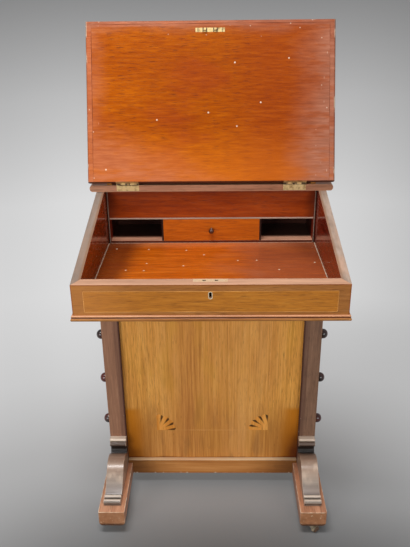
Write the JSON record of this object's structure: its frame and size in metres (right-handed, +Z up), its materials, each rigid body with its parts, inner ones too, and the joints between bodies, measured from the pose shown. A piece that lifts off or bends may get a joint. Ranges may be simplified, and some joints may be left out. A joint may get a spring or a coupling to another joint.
{
  "type": "davenport desk",
  "caption": "Davenport desk: hinged writing slope over a shallow box with pigeonholes, on a pedestal of side drawers with sledge feet and casters.",
  "frame": {"origin": "on the floor, in the middle of the footprint of the two feet", "axes": "+X to the writer's right, the side the drawers open to; +Y from the writer to the back; +Z up"},
  "size_m": [0.595, 0.5361, 1.1241],
  "materials": {
    "walnut": "waxed golden walnut veneer",
    "dark_walnut": "waxed, darker stained",
    "ebonised_wood": "polished dark stain",
    "mahogany": "polished red-brown",
    "pine": "plain, unpolished",
    "leather": "smooth, gilt line round the edge",
    "brass": "aged",
    "steel": "worn",
    "ceramic": "glazed brown ceramic"
  },
  "bodies": {
    "desk": {"foot_left": "dark_walnut", "foot_right": "dark_walnut", "scroll_bracket_left": "ebonised_wood", "scroll_bracket_right": "ebonised_wood", "caster_plates": "brass", "front_post_left": "dark_walnut", "front_post_right": "dark_walnut", "rear_posts": "walnut", "pedestal_front_panel": "walnut", "pedestal_back_panel": "pine", "plinth_rails": "walnut", "drawer_rails": "walnut", "drawer_runners": "pine", "dummy_drawer_fronts": "walnut", "dummy_drawer_knobs": "ebonised_wood", "box_floor": "mahogany", "box_front": "walnut", "box_back": "pine", "box_side_left": "walnut", "box_side_right": "walnut", "base_moulding": "walnut", "top_board": "walnut", "fascia_panel": "mahogany", "pigeonhole_shelves": "mahogany", "pigeonhole_uprights": "mahogany", "lock_case": "brass", "keyhole_escutcheon": "brass", "stationery_case": "walnut", "hinge_leaves_fixed": "brass"},
    "slope": {"slope_panel": "mahogany", "slope_edging": "walnut", "writing_leather": "leather", "hinge_leaves_slope": "brass", "link_plate": "brass"},
    "stationery_lid": {"stationery_lid": "walnut", "hinge_leaves_stationery_lid": "brass"},
    "lock_bolt": {"lock_bolt": "steel"},
    "pen_drawer": {"pen_drawer_front": "mahogany", "pen_drawer_box": "mahogany", "pen_drawer_knob": "ebonised_wood"},
    "drawer_1": {"drawer_1_front": "walnut", "drawer_1_box": "pine", "drawer_1_knobs": "ebonised_wood"},
    "drawer_2": {"drawer_2_front": "walnut", "drawer_2_box": "pine", "drawer_2_knobs": "ebonised_wood"},
    "drawer_3": {"drawer_3_front": "walnut", "drawer_3_box": "pine", "drawer_3_knobs": "ebonised_wood"},
    "drawer_4": {"drawer_4_front": "walnut", "drawer_4_box": "pine", "drawer_4_knobs": "ebonised_wood"},
    "caster_fork_front_left": {"caster_fork_front_left": "brass"},
    "caster_wheel_front_left": {"caster_wheel_front_left": "ceramic"},
    "caster_fork_front_right": {"caster_fork_front_right": "brass"},
    "caster_wheel_front_right": {"caster_wheel_front_right": "ceramic"},
    "caster_fork_rear_left": {"caster_fork_rear_left": "brass"},
    "caster_wheel_rear_left": {"caster_wheel_rear_left": "ceramic"},
    "caster_fork_rear_right": {"caster_fork_rear_right": "brass"},
    "caster_wheel_rear_right": {"caster_wheel_rear_right": "ceramic"}
  },
  "joints": [
    {"name": "slope_hinge", "type": "hinge", "parent": "desk", "child": "slope", "pos_m": [0, 0.1024, 0.7595], "axis": [1, 0, 0], "range_deg": [0, 123.28]},
    {"name": "stationery_lid_hinge", "type": "hinge", "parent": "desk", "child": "stationery_lid", "pos_m": [0, 0.2444, 0.839], "axis": [1, 0, 0], "range_deg": [-100, 0]},
    {"name": "lock_bolt_slide", "type": "slide", "parent": "desk", "child": "lock_bolt", "axis": [1, 0, 0], "range_m": [0, 0.005]},
    {"name": "pen_drawer_slide", "type": "slide", "parent": "desk", "child": "pen_drawer", "axis": [0, -1, 0], "range_m": [0, 0.09]},
    {"name": "drawer_1_slide", "type": "slide", "parent": "desk", "child": "drawer_1", "axis": [1, 0, 0], "range_m": [0, 0.38]},
    {"name": "drawer_2_slide", "type": "slide", "parent": "desk", "child": "drawer_2", "axis": [1, 0, 0], "range_m": [0, 0.38]},
    {"name": "drawer_3_slide", "type": "slide", "parent": "desk", "child": "drawer_3", "axis": [1, 0, 0], "range_m": [0, 0.38]},
    {"name": "drawer_4_slide", "type": "slide", "parent": "desk", "child": "drawer_4", "axis": [1, 0, 0], "range_m": [0, 0.38]},
    {"name": "caster_swivel_front_left", "type": "hinge", "parent": "desk", "child": "caster_fork_front_left", "pos_m": [-0.239, -0.248, 0.026], "axis": [0, 0, 1], "continuous": true},
    {"name": "caster_wheel_spin_front_left", "type": "hinge", "parent": "caster_fork_front_left", "child": "caster_wheel_front_left", "pos_m": [-0.24185, -0.23737, 0.009], "axis": [0.9659, 0.2588, 0], "continuous": true},
    {"name": "caster_swivel_front_right", "type": "hinge", "parent": "desk", "child": "caster_fork_front_right", "pos_m": [0.239, -0.248, 0.026], "axis": [0, 0, 1], "continuous": true},
    {"name": "caster_wheel_spin_front_right", "type": "hinge", "parent": "caster_fork_front_right", "child": "caster_wheel_front_right", "pos_m": [0.24607, -0.25643, 0.009], "axis": [-0.766, -0.6428, 0], "continuous": true},
    {"name": "caster_swivel_rear_left", "type": "hinge", "parent": "desk", "child": "caster_fork_rear_left", "pos_m": [-0.239, 0.248, 0.026], "axis": [0, 0, 1], "continuous": true},
    {"name": "caster_wheel_spin_rear_left", "type": "hinge", "parent": "caster_fork_rear_left", "child": "caster_wheel_rear_left", "pos_m": [-0.23435, 0.25797, 0.009], "axis": [0.9063, -0.4226, 0], "continuous": true},
    {"name": "caster_swivel_rear_right", "type": "hinge", "parent": "desk", "child": "caster_fork_rear_right", "pos_m": [0.239, 0.248, 0.026], "axis": [0, 0, 1], "continuous": true},
    {"name": "caster_wheel_spin_rear_right", "type": "hinge", "parent": "caster_fork_rear_right", "child": "caster_wheel_rear_right", "pos_m": [0.23269, 0.25701, 0.009], "axis": [0.8192, 0.5736, 0], "continuous": true}
  ]
}
